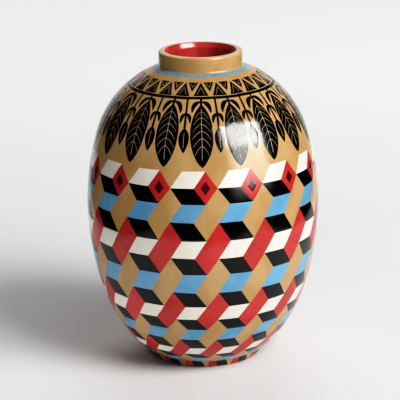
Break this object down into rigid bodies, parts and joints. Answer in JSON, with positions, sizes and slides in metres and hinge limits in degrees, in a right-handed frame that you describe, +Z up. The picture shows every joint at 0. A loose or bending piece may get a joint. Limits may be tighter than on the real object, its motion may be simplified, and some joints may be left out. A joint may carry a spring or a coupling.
{
  "type": "ceramic vase",
  "caption": "Tall ovoid ceramic vase on a narrow turned foot, with a low straight collar, a red glazed hollow and a painted glazed outside, to hold flowers or stand as an ornament.",
  "frame": {"origin": "centre of the foot ring's resting face, on the table", "axes": "+Z up along the vase's axis, from the foot to the mouth"},
  "size_m": [0.2999, 0.3, 0.404],
  "materials": {
    "clay": "bare fired clay, turned smooth",
    "slip": "fired slip in the joints",
    "red_glaze": "glossy red glaze",
    "painted_glaze": "hand-painted ochre ground under clear glossy glaze"
  },
  "bodies": {
    "root": {"foot_ring": "clay", "foot_lute": "slip", "lower_body": "clay", "belly_lute": "slip", "upper_body": "clay", "collar_lute": "slip", "neck_collar": "clay", "red_lining": "red_glaze", "outer_glaze": "painted_glaze"}
  },
  "joints": []
}
